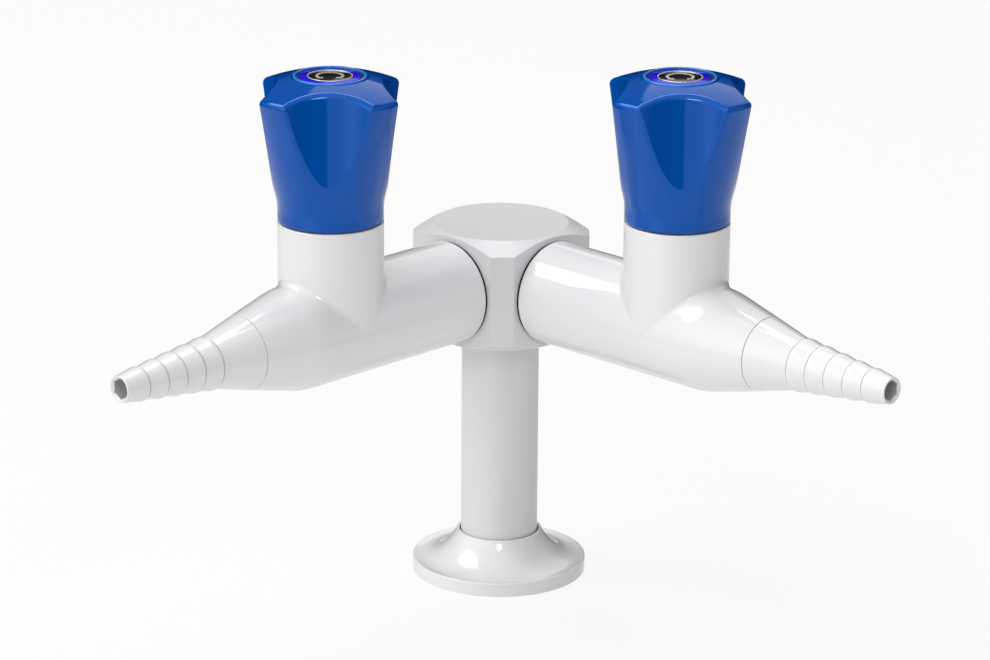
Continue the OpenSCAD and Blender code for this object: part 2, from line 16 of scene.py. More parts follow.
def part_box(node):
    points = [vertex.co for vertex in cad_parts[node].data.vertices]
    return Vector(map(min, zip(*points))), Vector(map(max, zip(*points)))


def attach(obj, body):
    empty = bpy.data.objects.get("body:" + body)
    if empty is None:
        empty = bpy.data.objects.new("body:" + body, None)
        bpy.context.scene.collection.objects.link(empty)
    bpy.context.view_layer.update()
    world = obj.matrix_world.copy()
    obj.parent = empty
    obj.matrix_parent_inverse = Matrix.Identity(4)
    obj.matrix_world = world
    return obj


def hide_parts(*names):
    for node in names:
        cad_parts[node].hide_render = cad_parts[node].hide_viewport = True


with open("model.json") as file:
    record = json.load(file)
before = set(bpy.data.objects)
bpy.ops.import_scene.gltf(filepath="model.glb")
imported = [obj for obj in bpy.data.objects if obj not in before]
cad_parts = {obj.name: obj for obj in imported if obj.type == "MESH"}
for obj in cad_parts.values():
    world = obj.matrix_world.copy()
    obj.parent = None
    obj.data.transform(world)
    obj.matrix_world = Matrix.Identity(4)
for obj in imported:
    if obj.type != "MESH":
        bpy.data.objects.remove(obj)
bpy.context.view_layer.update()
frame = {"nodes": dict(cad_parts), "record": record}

MM = 0.001
SIDES = ("left", "right")


# Places and main sizes, taken from the frame

def node_points(node):
    """Corners of a CAD node's mesh, in millimetres."""
    return np.array([v.co for v in frame["nodes"][node].data.vertices]) / MM


def span(node, axis):
    """Lowest and highest value of a CAD node along x, y or z, in millimetres."""
    low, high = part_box(node)
    return low[axis] / MM, high[axis] / MM


def valve_place(side):
    """Angle of an arm seen from above, reach of its knob's axis and height of its centre line."""
    knob_low, knob_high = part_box(f"knob_{side}")
    centre = (knob_low + knob_high) / 2 / MM
    nozzle_low, nozzle_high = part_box(f"nozzle_{side}")
    height = (nozzle_low.z + nozzle_high.z) / 2 / MM
    return math.atan2(centre.y, centre.x), math.hypot(centre.x, centre.y), height


_, ARM_REACH, OUTLET_H = valve_place("left")
COLUMN_R = span("column_tube", 0)[1]
COLUMN_BASE, COLUMN_TOP = span("column_tube", 2)
FLANGE_R = span("flange_cover", 0)[1]
FLANGE_H = span("flange_cover", 2)[1]
HUB_BASE, HUB_TOP = span("hub", 2)
HUB_CORNER_R = span("hub", 0)[1]


def valve_span(node):
    """Nearest and farthest distance of a CAD node from the knob's axis, along its arm."""
    angle, reach, _ = valve_place(node.rsplit("_", 1)[1])
    along = node_points(node)[:, :2] @ np.array([math.cos(angle), math.sin(angle)])
    return along.min() - reach, along.max() - reach


ARM_FACE, SEAM_X = valve_span("valve_body_left")
NOZZLE_TIP = valve_span("nozzle_left")[1]
ARM_R = OUTLET_H - span("valve_body_left", 2)[0]
BOSS_TOP = span("valve_body_left", 2)[1] - OUTLET_H
KNOB_BASE = span("knob_left", 2)[0] - OUTLET_H
CAP_FLOOR, RING_TOP = (level - OUTLET_H for level in span("cap_ring_left", 2))

# Sizes that the frame doesn't give, some counted from one that it does
COLUMN_IN_R = 10.25
HUB_AF = 48
HUB_CROWN_R = 22.9
HUB_CHAMFER = math.radians(28)
ARM_EDGE = 1.2
TEE_FILLET = 2.4
CONE_START = 18.9
CONE_SLOPE = math.tan(math.radians(14))
CONE_BLEND = 30
SEAM_EDGE = 0.15
PORT_R = 8.3
PORT_DEPTH = 14
BOSS_R = 17.45
BOSS_EDGE = 0.4
BONNET_R = 12.02
LEDGE_Z = 14.5
CHAMBER_R = 9
SEAT_TOP_Z = 8
SEAT_R = 6
SEAT_BASE_Z = 4
SEAT_BORE_R = 3
FIT_GAP = 0.02
MOUTH_AF = 6.3
MOUTH_DEPTH = 6
SKIRT_R = 17.4
SKIRT_TOP = KNOB_BASE + 6
SHOULDER = KNOB_BASE + 43.2
LOBE_R = 26.8
DOME_R = 64
DOME_CENTRE = SHOULDER - math.sqrt(DOME_R ** 2 - LOBE_R ** 2)
WAIST_R = 18.75
FLUTE_R = 25
FLUTE_LEAN = math.radians(1.7)
FLUTE_MID = KNOB_BASE + 27
FLUTE_EDGE = 0.8
DOME_EDGE = 1.7
KNOB_FOOT_EDGE = 0.65
RECESS_R = 12.55
RECESS_EDGE = 0.3
RING_IN_R = 11.0
CAP_R = 10.3
CAP_SEAT_DEPTH = 0.8
BEZEL_R = 7.45
BEZEL_IN_R = 6.95
BEZEL_RISE = 0.15
CAP_TOP = span("bezel_left", 2)[1] - BEZEL_RISE - OUTLET_H


# Mesh building

WELD_DECIMALS = 4
ROUND_STEPS = 192
ROUND = np.linspace(0, 2 * math.pi, ROUND_STEPS + 1)


class Patch:
    """A grid of points with their surface normals."""

    def __init__(self, points, normals):
        self.points = np.asarray(points, float)
        self.normals = np.asarray(normals, float)


def quads(grid):
    """Corners of each cell of a grid, in order round the cell."""
    cells = np.stack([grid[:-1, :-1], grid[1:, :-1], grid[1:, 1:], grid[:-1, 1:]], axis=2)
    return cells.reshape(-1, 4, 3)


def mesh_from(name, patches):
    """One closed mesh from patches in millimetres, welded by position, with their exact normals."""
    corners = np.concatenate([quads(p.points) for p in patches])
    normals = np.concatenate([quads(p.normals) for p in patches])
    facing = np.cross(corners[:, 2] - corners[:, 0], corners[:, 3] - corners[:, 1])
    flipped = (facing * normals.sum(axis=1)).sum(axis=1) < 0
    corners[flipped] = corners[flipped][:, ::-1]
    normals[flipped] = normals[flipped][:, ::-1]
    keys = np.round(corners.reshape(-1, 3), WELD_DECIMALS)
    unique, index = np.unique(keys, axis=0, return_inverse=True)
    index = index.reshape(-1, 4)
    faces, loop_normals = [], []
    for ids, vectors in zip(index.tolist(), normals.tolist()):
        kept = [k for k in range(4) if ids[k] != ids[k - 1]]
        if len(kept) > 2 and len({ids[k] for k in kept}) == len(kept):
            faces.append([ids[k] for k in kept])
            loop_normals += [vectors[k] for k in kept]
    mesh = bpy.data.meshes.new(name)
    mesh.from_pydata((unique * MM).tolist(), [], faces)
    mesh.polygons.foreach_set("use_smooth", [True] * len(mesh.polygons))
    mesh.normals_split_custom_set(loop_normals)
    return mesh


def outline(corners, steps=6):
    """Runs of (along, radius, normal along, normal radius) through corners (along, radius, rounding).

    The solid lies to the right of the outline. A run ends at each corner that has no rounding.
    """
    points = np.array([c[:2] for c in corners], float)
    roundings = [c[2] if len(c) > 2 else 0 for c in corners]
    runs, run = [], []
    for k in range(len(points)):
        before = points[k] - points[k - 1] if k else None
        after = points[k + 1] - points[k] if k + 1 < len(points) else None
        if before is not None:
            before = before / np.linalg.norm(before)
        if after is not None:
            after = after / np.linalg.norm(after)
        if before is None or after is None or roundings[k] == 0:
            if before is not None:
                run.append((*points[k], -before[1], before[0]))
                runs.append(run)
            run = [(*points[k], -after[1], after[0])] if after is not None else []
            continue
        turn = math.atan2(before[0] * after[1] - before[1] * after[0], before @ after)
        left = np.array([-before[1], before[0]])
        bend = roundings[k] * math.copysign(1, turn)
        setback = roundings[k] * abs(math.tan(turn / 2))
        centre = points[k] - before * setback + bend * left
        for step in range(steps + 1):
            a = turn * step / steps
            normal = np.array([left[0] * math.cos(a) - left[1] * math.sin(a),
                               left[0] * math.sin(a) + left[1] * math.cos(a)])
            run.append((*(centre - bend * normal), *normal))
    return [np.array(r) for r in runs]


def inside_out(runs):
    """The same runs for an outline that has the solid on its left."""
    return [np.column_stack([r[:, :2], -r[:, 2:]]) for r in runs]


def smooth_run(points):
    """A run through closely set points of a smooth curve, with normals from its slope."""
    points = np.array(points, float)
    slope = np.gradient(points, axis=0)
    slope /= np.linalg.norm(slope, axis=1)[:, None]
    return np.column_stack([points, -slope[:, 1], slope[:, 0]])


def curve(start, toward_point, from_point, end, steps=48):
    """Points on a smooth curve that leaves start towards one point and reaches end from another."""
    t = np.linspace(0, 1, steps)[:, None]
    a, b, c, d = (np.array(p, float) for p in (start, toward_point, from_point, end))
    return (1 - t) ** 3 * a + 3 * (1 - t) ** 2 * t * b + 3 * (1 - t) * t ** 2 * c + t ** 3 * d


def turned(runs, turns=ROUND):
    """Patches of runs turned about z."""
    cosine, sine, level = np.cos(turns), np.sin(turns), np.ones_like(turns)
    patches = []
    for run in runs:
        points, normals = (
            np.stack([np.outer(across, cosine), np.outer(across, sine), np.outer(along, level)], axis=2)
            for along, across in ((run[:, 0], run[:, 1]), (run[:, 2], run[:, 3])))
        patches.append(Patch(points, normals))
    return patches


def turned_bar(runs, turns=ROUND):
    """Patches of runs turned about x, with angles counted from z towards y."""
    return [Patch(p.points[:, :, [2, 1, 0]], p.normals[:, :, [2, 1, 0]]) for p in turned(runs, turns)]


def domed(patches):
    """Shades level tops like the knob's dome."""
    upright = 0.9999
    for patch in patches:
        bulge = patch.points / DOME_R
        bulge[..., 2] = 1
        bulge /= np.linalg.norm(bulge, axis=-1, keepdims=True)
        patch.normals = np.where(patch.normals[..., 2:] > upright, bulge, patch.normals)
    return patches


def add_object(name, data):
    """A new object in the scene."""
    made = bpy.data.objects.new(name, data)
    bpy.context.scene.collection.objects.link(made)
    return made


def place_piece(name, mesh, matrix, body, slot, *nodes):
    """Puts a mesh, turned within its own axes, in place as a piece that stands for CAD nodes."""
    mesh = mesh.copy()
    mesh.transform(matrix.to_quaternion().to_matrix().to_4x4())
    mesh.materials.append(MATERIALS[slot])
    piece = add_object(name, mesh)
    piece.matrix_world = Matrix.Translation(matrix.translation)
    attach(piece, body)
    if nodes:
        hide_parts(*nodes)
    return piece


def in_valve(side):
    """Place of a valve: origin where the knob's axis meets the arm's centre line, x outward."""
    angle, reach, height = valve_place(side)
    return Matrix.Rotation(angle, 4, "Z") @ Matrix.Translation((reach * MM, 0, height * MM))


def in_knob(side):
    """Place of a knob: the valve's origin with the axes of the frame."""
    return Matrix.Translation(in_valve(side).translation)


# Materials

def new_material(name):
    """An empty node material with its principled shader."""
    material = bpy.data.materials.new(name)
    material.use_nodes = True
    return material, material.node_tree, material.node_tree.nodes["Principled BSDF"]


def noise(tree, scale, detail=3.0):
    """Noise between 0 and 1 in the object's own space."""
    where = tree.nodes.new("ShaderNodeTexCoord")
    texture = tree.nodes.new("ShaderNodeTexNoise")
    texture.inputs["Scale"].default_value = scale
    texture.inputs["Detail"].default_value = detail
    tree.links.new(where.outputs["Object"], texture.inputs["Vector"])
    return texture.outputs["Fac"]


def vary_colour(tree, shader, colour, factor, amount):
    """Base colour that drifts a little darker where the factor is high."""
    mix = tree.nodes.new("ShaderNodeMix")
    mix.data_type = "RGBA"
    mix.inputs["A"].default_value = (*colour, 1)
    mix.inputs["B"].default_value = (*(c * (1 - amount) for c in colour), 1)
    tree.links.new(factor, mix.inputs["Factor"])
    tree.links.new(mix.outputs["Result"], shader.inputs["Base Color"])


def vary_roughness(tree, shader, middle, factor, spread):
    """Roughness that drifts by a spread to both sides of its middle."""
    remap = tree.nodes.new("ShaderNodeMapRange")
    remap.inputs["To Min"].default_value = middle - spread
    remap.inputs["To Max"].default_value = middle + spread
    tree.links.new(factor, remap.inputs["Value"])
    tree.links.new(remap.outputs["Result"], shader.inputs["Roughness"])


def add_bump(tree, shader, height, strength, distance):
    """Bump from a height value, with distance in millimetres."""
    bump = tree.nodes.new("ShaderNodeBump")
    bump.inputs["Strength"].default_value = strength
    bump.inputs["Distance"].default_value = distance * MM
    tree.links.new(height, bump.inputs["Height"])
    tree.links.new(bump.outputs["Normal"], shader.inputs["Normal"])


def coated(name, colour, roughness, coat=0.0, level=0.5):
    """Powder coat: faint drift of tone and gloss, under a clear layer where coat is set."""
    material, tree, shader = new_material(name)
    vary_colour(tree, shader, colour, noise(tree, scale=60, detail=2.0), amount=0.01)
    vary_roughness(tree, shader, roughness, noise(tree, scale=150), spread=0.02)
    shader.inputs["Specular IOR Level"].default_value = level
    shader.inputs["Coat Weight"].default_value = coat
    shader.inputs["Coat Roughness"].default_value = 0.015
    add_bump(tree, shader, noise(tree, scale=500, detail=1.0), strength=0.05, distance=0.01)
    return material


def moulded(name, colour, roughness, coat=0.0, level=0.5, tint=(1, 1, 1)):
    """Moulded plastic: even colour with a faint flow and a slightly uneven gloss."""
    material, tree, shader = new_material(name)
    vary_colour(tree, shader, colour, noise(tree, scale=45, detail=2.0), amount=0.03)
    vary_roughness(tree, shader, roughness, noise(tree, scale=320), spread=0.02)
    shader.inputs["Specular IOR Level"].default_value = level
    shader.inputs["Specular Tint"].default_value = (*tint, 1)
    shader.inputs["Coat Weight"].default_value = coat
    shader.inputs["Coat Roughness"].default_value = 0.08
    add_bump(tree, shader, noise(tree, scale=400, detail=1.0), strength=0.05, distance=0.01)
    return material


def metal(name, colour, roughness):
    """Turned metal with fine rings of tool marks."""
    material, tree, shader = new_material(name)
    vary_colour(tree, shader, colour, noise(tree, scale=200), amount=0.12)
    vary_roughness(tree, shader, roughness, noise(tree, scale=500), spread=0.06)
    shader.inputs["Metallic"].default_value = 1
    where = tree.nodes.new("ShaderNodeTexCoord")
    rings = tree.nodes.new("ShaderNodeTexWave")
    rings.bands_direction = "Z"
    rings.inputs["Scale"].default_value = 900
    tree.links.new(where.outputs["Object"], rings.inputs["Vector"])
    add_bump(tree, shader, rings.outputs["Fac"], strength=0.15, distance=0.02)
    return material


def rubber(name, colour):
    """Dull elastomer with a fine grain."""
    material, tree, shader = new_material(name)
    vary_colour(tree, shader, colour, noise(tree, scale=400), amount=0.25)
    shader.inputs["Roughness"].default_value = 0.7
    shader.inputs["Specular IOR Level"].default_value = 0.12
    add_bump(tree, shader, noise(tree, scale=2500), strength=0.2, distance=0.03)
    return material


MATERIALS = {
    "coat_gloss": coated("coat_gloss", (0.82, 0.82, 0.82), roughness=0.5, coat=1.0),
    "coat_satin": coated("coat_satin", (0.725, 0.725, 0.725), roughness=0.36, level=1.0),
    "knob_blue": moulded("knob_blue", (0.0, 0.074, 0.39), roughness=0.08, level=1.0,
                         tint=(0.25, 0.45, 1.0)),
    "ring_blue": moulded("ring_blue", (0.01, 0.20, 0.70), roughness=0.25, coat=0.5),
    "cap_violet": moulded("cap_violet", (0.015, 0.003, 0.62), roughness=0.12),
    "bezel_silver": metal("bezel_silver", (0.88, 0.85, 0.74), roughness=0.4),
    "plate_black": moulded("plate_black", (0.004, 0.004, 0.005), roughness=0.12),
    "brass": metal("brass", (0.72, 0.52, 0.22), roughness=0.3),
    "steel": metal("steel", (0.86, 0.86, 0.87), roughness=0.6),
    "seal_rubber": rubber("seal_rubber", (0.02, 0.02, 0.021)),
    "seal_fibre": rubber("seal_fibre", (0.06, 0.16, 0.08)),
    "slide_plastic": moulded("slide_plastic", (0.05, 0.05, 0.055), roughness=0.45),
}


# Column, flange and hub

def column_mesh():
    """Outer tube of the column."""
    edge = 0.3
    return mesh_from("column_tube", turned(outline([
        (COLUMN_BASE, COLUMN_IN_R), (COLUMN_BASE, COLUMN_R, edge), (COLUMN_TOP, COLUMN_R, edge),
        (COLUMN_TOP, COLUMN_IN_R), (COLUMN_BASE, COLUMN_IN_R)])))


def flange_mesh():
    """Escutcheon: upright rim, rounded lip, concave flare and thin collar."""
    rim_h, lip, base_edge = 4.85, 0.5, 0.3
    top_slope, rim_slope = math.radians(65), math.radians(14)
    top_pull, rim_pull = 3.7, 8.2
    collar_in_r, collar_r, top_edge, inner_edge = COLUMN_R + 0.5, COLUMN_R + 1.3, 0.3, 0.2
    foot_r, foot_top = COLUMN_R + 6.5, 3.62
    gasket_in, gasket_out, gasket_h = 22.98, 27.02, 1.2
    lip_end = np.array([rim_h - lip + lip * math.cos(rim_slope),
                        FLANGE_R - lip - lip * math.sin(rim_slope)])
    lip_corner = rim_h - lip + lip * math.tan(math.pi / 4 + rim_slope / 2)
    up_rim = np.array([math.sin(rim_slope), math.cos(rim_slope)])
    down_flare = np.array([-math.sin(top_slope), math.cos(top_slope)])
    top = np.array([FLANGE_H, collar_r])
    flare = curve(lip_end, lip_end - rim_pull * up_rim,
                  top + top_pull * down_flare, top + top_edge * down_flare)
    body = outline([
        top + top_edge * down_flare, (FLANGE_H, collar_r, top_edge), (FLANGE_H, collar_in_r, inner_edge),
        (foot_top, collar_in_r), (foot_top, foot_r), (0, foot_r), (0, gasket_in), (gasket_h, gasket_in),
        (gasket_h, gasket_out), (0, gasket_out), (0, FLANGE_R, base_edge), (lip_corner, FLANGE_R, lip),
        lip_end])
    return mesh_from("flange_cover", turned(body + [smooth_run(flare)]))


def hub_mesh():
    """Square block with narrow corner faces, cut from a round bar with cone-shaped chamfers."""
    segments, bar_share, weld = 240, 0.75, 1e-7
    half_h, bar_r = (HUB_TOP - HUB_BASE) / 2, HUB_AF * bar_share
    drop = (bar_r - HUB_CROWN_R) * math.tan(HUB_CHAMFER)
    bm = bmesh.new()
    loops = []
    turns = [2 * math.pi * k / segments for k in range(segments)]
    for z, r in ((-half_h, HUB_CROWN_R), (drop - half_h, bar_r),
                 (half_h - drop, bar_r), (half_h, HUB_CROWN_R)):
        loops.append([bm.verts.new((r * math.cos(t) * MM, r * math.sin(t) * MM, z * MM)) for t in turns])
    for low, high in zip(loops, loops[1:]):
        for corners in zip(low, low[1:] + low[:1], high[1:] + high[:1], high):
            bm.faces.new(corners)
    bm.faces.new(loops[0][::-1])
    bm.faces.new(loops[-1])
    # The four sides, then the four narrow corner faces
    cuts = [(45 + 90 * k, HUB_AF / 2) for k in range(4)] + [(90 * k, HUB_CORNER_R) for k in range(4)]
    for turn, distance in cuts:
        normal = Vector((math.cos(math.radians(turn)), math.sin(math.radians(turn)), 0))
        cut = bmesh.ops.bisect_plane(bm, geom=bm.verts[:] + bm.edges[:] + bm.faces[:], dist=weld,
                                     plane_co=normal * distance * MM, plane_no=normal, clear_outer=True)
        edges = [e for e in cut["geom_cut"] if isinstance(e, bmesh.types.BMEdge)]
        bmesh.ops.contextual_create(bm, geom=edges)
    bmesh.ops.recalc_face_normals(bm, faces=bm.faces[:])
    mesh = bpy.data.meshes.new("hub")
    bm.to_mesh(mesh)
    bm.free()
    mesh.polygons.foreach_set("use_smooth", [True] * len(mesh.polygons))
    return mesh


def make_column():
    """Column, flange and hub, whose edges are made soft by a bevel."""
    place_piece("column_skin", column_mesh(), Matrix(), "root", "coat_satin", "column_tube")
    place_piece("flange_skin", flange_mesh(), Matrix(), "root", "coat_gloss", "flange_cover")
    centre = Matrix.Translation((0, 0, OUTLET_H * MM))
    hub = place_piece("hub_skin", hub_mesh(), centre, "root", "coat_satin", "hub")
    bevel = hub.modifiers.new("soft_edges", "BEVEL")
    bevel.width = 0.35 * MM
    bevel.segments = 4
    bevel.limit_method = "ANGLE"
    bevel.angle_limit = math.radians(12)
    bevel.harden_normals = False
    hub.modifiers.new("even_shading", "WEIGHTED_NORMAL").keep_sharp = False


# Valve body

def arm_profile():
    """Dense run along the arm from its face to the seam: cylinder, rounding and cone."""
    samples, lean = 4000, math.atan(CONE_SLOPE)
    blend_x = CONE_START - CONE_BLEND * math.tan(lean / 2)
    cone_from = blend_x + CONE_BLEND * math.sin(lean)
    x = np.linspace(ARM_FACE + ARM_EDGE, SEAM_X, samples)
    into_blend = np.clip(x, blend_x, cone_from) - blend_x
    height = np.sqrt(CONE_BLEND ** 2 - into_blend ** 2)
    radius = ARM_R - (CONE_BLEND - height) - np.clip(x - cone_from, 0, None) * CONE_SLOPE
    slope = into_blend / height
    length = np.hypot(1, slope)
    return np.column_stack([x, radius, slope / length, 1 / length])


def cone_radius(x):
    """Radius of the front cone at a distance from the knob's axis."""
    return ARM_R - (x - CONE_START) * CONE_SLOPE


def arm_lines(profile, x_from, x_to, side_y, side_z, columns=24):
    """A strip of lines along the arm, each from x_from to x_to, at directions (side_y, side_z)."""
    share = np.linspace(0, 1, columns + 1)
    x = x_from[:, None] + (x_to - x_from)[:, None] * share
    radius, n_x, n_r = (np.interp(x, profile[:, 0], profile[:, k]) for k in (1, 2, 3))
    y, z = side_y[:, None], side_z[:, None]
    points = np.stack([x, radius * y, radius * z], axis=2)
    return Patch(points, np.stack([n_x, n_r * y, n_r * z], axis=2))


def fillet_patch(centre, on_arm, on_boss, steps=10):
    """Hollow left by a ball that rolls along centre and touches the arm and the boss."""
    from_arm, from_boss = on_arm - centre, on_boss - centre
    cosine = np.clip((from_arm * from_boss).sum(axis=1) / TEE_FILLET ** 2, -1, 1)
    angle = np.arccos(cosine)[:, None, None]
    share = np.linspace(0, 1, steps + 1)[None, :, None]
    spoke = np.sin((1 - share) * angle) * from_arm[:, None] + np.sin(share * angle) * from_boss[:, None]
    spoke *= TEE_FILLET / np.linalg.norm(spoke, axis=2, keepdims=True)
    return Patch(centre[:, None] + spoke, -spoke / TEE_FILLET)


def boss_patch(turn, foot_z, steps=10):
    """Side of the boss between the fillet and its rounded top edge."""
    up = np.linspace(0, 1, steps + 1)
    z = foot_z[:, None] + (BOSS_TOP - BOSS_EDGE - foot_z[:, None]) * up
    x, y = (share[:, None] + 0 * z for share in (np.cos(turn), np.sin(turn)))
    return Patch(np.stack([BOSS_R * x, BOSS_R * y, z], axis=2), np.stack([x, y, 0 * z], axis=2))


def tee_patches():
    """Arm and boss with the fillet of a ball rolled along both, and the angles of the arm's ends."""
    profile = arm_profile()
    offset_x = profile[:, 0] + TEE_FILLET * profile[:, 2]
    offset_r = profile[:, 1] + TEE_FILLET * profile[:, 3]
    lines = 96
    made, ends = [], []
    # The half towards the hub, then the half towards the nozzle
    for start, stop, x_end in ((90, 270, ARM_FACE + ARM_EDGE), (90, -90, SEAM_X - SEAM_EDGE)):
        turn = np.radians(np.linspace(start, stop, lines + 1))
        centre_x = (BOSS_R + TEE_FILLET) * np.cos(turn)
        centre_y = (BOSS_R + TEE_FILLET) * np.sin(turn)
        reach = np.interp(centre_x, offset_x, offset_r)
        contact_x = np.interp(centre_x, offset_x, profile[:, 0])
        contact_r = np.interp(centre_x, offset_x, profile[:, 1])
        centre_z = np.sqrt(np.clip(reach ** 2 - centre_y ** 2, 0, None))
        side_y, side_z = centre_y / reach, centre_z / reach
        centre = np.stack([centre_x, centre_y, centre_z], axis=1)
        on_arm = np.stack([contact_x, contact_r * side_y, contact_r * side_z], axis=1)
        on_boss = np.stack([BOSS_R * np.cos(turn), BOSS_R * np.sin(turn), centre_z], axis=1)
        above = np.arctan2(side_y, side_z)
        below = np.linspace(above[0], 2 * math.pi - above[0], lines + 1)
        end = np.full(lines + 1, x_end)
        made += [arm_lines(profile, end, contact_x, side_y, side_z),
                 fillet_patch(centre, on_arm, on_boss), boss_patch(turn, centre_z),
                 arm_lines(profile, end, 0 * end, np.sin(below), np.cos(below))]
        ends.append(np.concatenate([above[::-1], below[1:]]))
    return made, ends


def body_mesh():
    """Tee-shaped valve body with its ports and the stepped bore under the knob."""
    tee, (hub_ring, seam_ring) = tee_patches()
    hub_end = outline([
        (ARM_FACE + PORT_DEPTH, 0), (ARM_FACE + PORT_DEPTH, PORT_R), (ARM_FACE, PORT_R),
        (ARM_FACE, ARM_R, ARM_EDGE), (ARM_FACE + ARM_EDGE, ARM_R)])
    nozzle_end = outline([
        (SEAM_X - SEAM_EDGE, cone_radius(SEAM_X - SEAM_EDGE)), (SEAM_X, cone_radius(SEAM_X), SEAM_EDGE),
        (SEAM_X, PORT_R), (SEAM_X - PORT_DEPTH, PORT_R), (SEAM_X - PORT_DEPTH, 0)])
    boss_top = outline([
        (BOSS_TOP - BOSS_EDGE, BOSS_R), (BOSS_TOP, BOSS_R, BOSS_EDGE), (BOSS_TOP, BONNET_R),
        (LEDGE_Z, BONNET_R), (LEDGE_Z, CHAMBER_R), (SEAT_TOP_Z, CHAMBER_R), (SEAT_TOP_Z, SEAT_R),
        (SEAT_BASE_Z, SEAT_R), (SEAT_BASE_Z, SEAT_BORE_R), (0, SEAT_BORE_R), (0, 0)])
    arm_ends = turned_bar(hub_end, hub_ring) + turned_bar(nozzle_end, seam_ring)
    return mesh_from("valve_body", tee + arm_ends + turned(boss_top))


# Nozzle

def hexagon_sides():
    """For each side of the mouth's hexagon: angles, their cosines from its middle and three facings.

    The facings are outward along x, square to the side, and in towards the axis.
    """
    steps = ROUND_STEPS // 6
    for side in range(6):
        turns = ROUND[side * steps:(side + 1) * steps + 1]
        middle = (turns[0] + turns[-1]) / 2
        end_on = np.broadcast_to((1.0, 0, 0), (steps + 1, 3))
        square = np.broadcast_to((0, -math.sin(middle), -math.cos(middle)), (steps + 1, 3))
        round_in = np.stack([0 * turns, -np.sin(turns), -np.cos(turns)], axis=1)
        yield turns, np.cos(turns - middle), end_on, square, round_in


def ring_walls(turns, rings, facings):
    """Patches between neighbouring rings (x, radius) round x, each with its own facing."""
    circle = [np.stack([x + 0 * turns, r * np.sin(turns), r * np.cos(turns)], axis=1) for x, r in rings]
    return [Patch(pair, [facing, facing]) for *pair, facing in zip(circle, circle[1:], facings)]


def nozzle_mesh():
    """Hose tail: cone, ribs with a thin groove behind each, and a hexagon in the countersunk mouth."""
    rib_start, rib_count, rib_pitch, tip_r, tip_edge = 55.2, 5, 7.1, 4.35, 0.25
    rib_step, rib_crest, step_edge, crest_edge = 0.4, 1.0, 0.08, 2.0
    groove_back, groove_front, groove_depth, undercut, groove_edge = 0.55, 0.12, 0.6, 0.12, 0.05
    plug_r, plug_edge, plug_end = PORT_R - FIT_GAP, 0.4, SEAM_X - PORT_DEPTH + 1.5
    neck_r, neck_w, bore_r = PORT_R - 1.5, 2.1, 2.7
    sink_r, sink_slope = 3.85, 1.0
    seam_w, seam_r = 0.25, cone_radius(SEAM_X) - 0.8
    corners = [(plug_end, bore_r), (plug_end, plug_r, plug_edge), (SEAM_X - neck_w, plug_r),
               (SEAM_X - neck_w, neck_r), (SEAM_X, neck_r), (SEAM_X, seam_r), (SEAM_X + seam_w, seam_r),
               (SEAM_X + seam_w, cone_radius(SEAM_X + seam_w), SEAM_EDGE)]
    for k in range(rib_count):
        x = rib_start + k * rib_pitch
        share = (x - rib_start) / (NOZZLE_TIP - rib_start)
        foot_r = cone_radius(rib_start) * (1 - share) + tip_r * share
        back_x, front_x = x - groove_back, x + groove_front
        floor_r, rib_r = foot_r - groove_depth, foot_r + rib_step
        corners += [(back_x, foot_r, groove_edge), (back_x - undercut, floor_r), (front_x, floor_r),
                    (front_x, rib_r, step_edge), (x + rib_crest, rib_r, crest_edge)]
    corners += [(NOZZLE_TIP, tip_r, tip_edge), (NOZZLE_TIP, sink_r)]
    patches = turned_bar(outline(corners))
    floor = NOZZLE_TIP - MOUTH_DEPTH
    for turns, cosine, end_on, square, round_in in hexagon_sides():
        wall_r = MOUTH_AF / 2 / cosine
        sunk = NOZZLE_TIP - (sink_r - wall_r) * sink_slope
        cone = (round_in * sink_slope + end_on) / math.hypot(sink_slope, 1)
        rings = [(NOZZLE_TIP, sink_r), (sunk, wall_r), (floor, wall_r), (floor, bore_r),
                 (plug_end, bore_r)]
        patches += ring_walls(turns, rings, (cone, square, end_on, round_in))
    return mesh_from("nozzle", patches)


# Knob

def knob_section(z):
    """Radius of the knob without its flutes, and its slope, at a level."""
    cone = (LOBE_R - SKIRT_R) / (SHOULDER - SKIRT_TOP)
    soft = 2.5
    t = np.clip((z - SKIRT_TOP) / soft, -1, 1)
    rise = np.where(t < 1, soft * (t + 1) ** 2 / 4, z - SKIRT_TOP)
    slope = np.where(t < 1, (t + 1) / 2, 1.0) * cone
    return SKIRT_R + rise * cone, slope


def flute_axis(z):
    """Distance of a flute's leaning axis from the knob's, at a level."""
    return WAIST_R + FLUTE_R - (z - FLUTE_MID) * math.tan(FLUTE_LEAN)


def dome_level(r):
    """Level of the knob's domed top at a distance from its axis."""
    return DOME_CENTRE + math.sqrt(DOME_R ** 2 - r ** 2)


def round_max(a, b, radius):
    """Intersection of two solids, given by distances, with a rounded edge."""
    inner = np.minimum(-radius, np.maximum(a, b))
    return inner + np.hypot(np.maximum(a + radius, 0), np.maximum(b + radius, 0))


def knob_distance(p):
    """Distance from the knob's outer surface, negative inside."""
    x, y, z = p[..., 0], p[..., 1], p[..., 2]
    radius, slope = knob_section(z)
    side = (np.hypot(x, y) - radius) / np.hypot(1, slope)
    far, near = np.maximum(np.abs(x), np.abs(y)), np.minimum(np.abs(x), np.abs(y))
    flute = FLUTE_R - np.hypot((far - flute_axis(z)) * math.cos(FLUTE_LEAN), near)
    dome = np.sqrt(x ** 2 + y ** 2 + (z - DOME_CENTRE) ** 2) - DOME_R
    return round_max(round_max(side, flute, FLUTE_EDGE), dome, DOME_EDGE)


